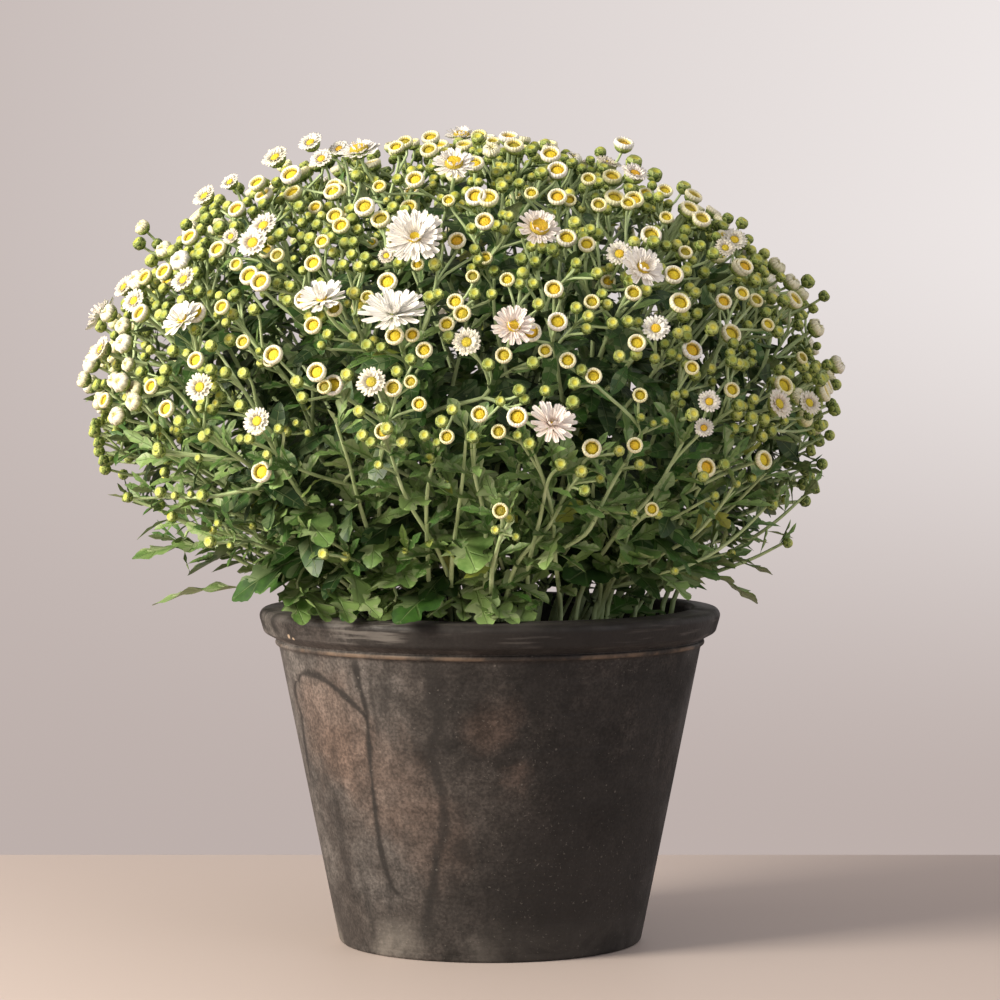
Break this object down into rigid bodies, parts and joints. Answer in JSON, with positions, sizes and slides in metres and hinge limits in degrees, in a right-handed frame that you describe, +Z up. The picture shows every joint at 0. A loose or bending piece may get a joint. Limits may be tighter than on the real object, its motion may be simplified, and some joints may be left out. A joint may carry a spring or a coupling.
{
  "type": "potted chrysanthemum",
  "caption": "Round clay pot with a heavy collar, holding a dome-shaped chrysanthemum of branching leafy stems, small green-yellow and ring-shaped buds and open white daisy flowers.",
  "frame": {"origin": "centre of the pot's flat base, on the surface that it stands on", "axes": "+Z up through the pot's mouth, -Y towards the viewer of the picture, +X to the viewer's right"},
  "size_m": [0.4426, 0.4538, 0.4776],
  "materials": {
    "clay": "matt weathered clay, dark grey-brown with warmer patches",
    "compost": "moist dark crumbly potting compost",
    "foliage": "satin green leaves and stems, yellow-green buds",
    "white_ray": "soft matt white petals with a slight sheen",
    "yellow_disc": "fine-grained matt yellow"
  },
  "bodies": {
    "root": {"pot": "clay", "soil": "compost", "leafy_stem_01": "foliage", "leafy_stem_02": "foliage", "leafy_stem_03": "foliage", "leafy_stem_04": "foliage", "leafy_stem_05": "foliage", "leafy_stem_06": "foliage", "leafy_stem_07": "foliage", "leafy_stem_08": "foliage", "leafy_stem_09": "foliage", "leafy_stem_10": "foliage", "leafy_stem_11": "foliage", "leafy_stem_12": "foliage", "leafy_stem_13": "foliage", "leafy_stem_14": "foliage", "leafy_stem_15": "foliage", "leafy_stem_16": "foliage", "leafy_stem_17": "foliage", "leafy_stem_18": "foliage", "leafy_stem_19": "foliage", "leafy_stem_20": "foliage", "leafy_stem_21": "foliage", "leafy_stem_22": "foliage", "flower_01_rays": "white_ray", "flower_02_rays": "white_ray", "flower_03_rays": "white_ray", "flower_04_rays": "white_ray", "flower_05_rays": "white_ray", "flower_06_rays": "white_ray", "flower_07_rays": "white_ray", "flower_08_rays": "white_ray", "flower_09_rays": "white_ray", "flower_10_rays": "white_ray", "flower_11_rays": "white_ray", "flower_12_rays": "white_ray", "flower_13_rays": "white_ray", "flower_14_rays": "white_ray", "flower_15_rays": "white_ray", "flower_01_disc": "yellow_disc", "flower_02_disc": "yellow_disc", "flower_03_disc": "yellow_disc", "flower_04_disc": "yellow_disc", "flower_05_disc": "yellow_disc", "flower_06_disc": "yellow_disc", "flower_07_disc": "yellow_disc", "flower_08_disc": "yellow_disc", "flower_09_disc": "yellow_disc", "flower_10_disc": "yellow_disc", "flower_11_disc": "yellow_disc", "flower_12_disc": "yellow_disc", "flower_13_disc": "yellow_disc", "flower_14_disc": "yellow_disc", "flower_15_disc": "yellow_disc"}
  },
  "joints": []
}
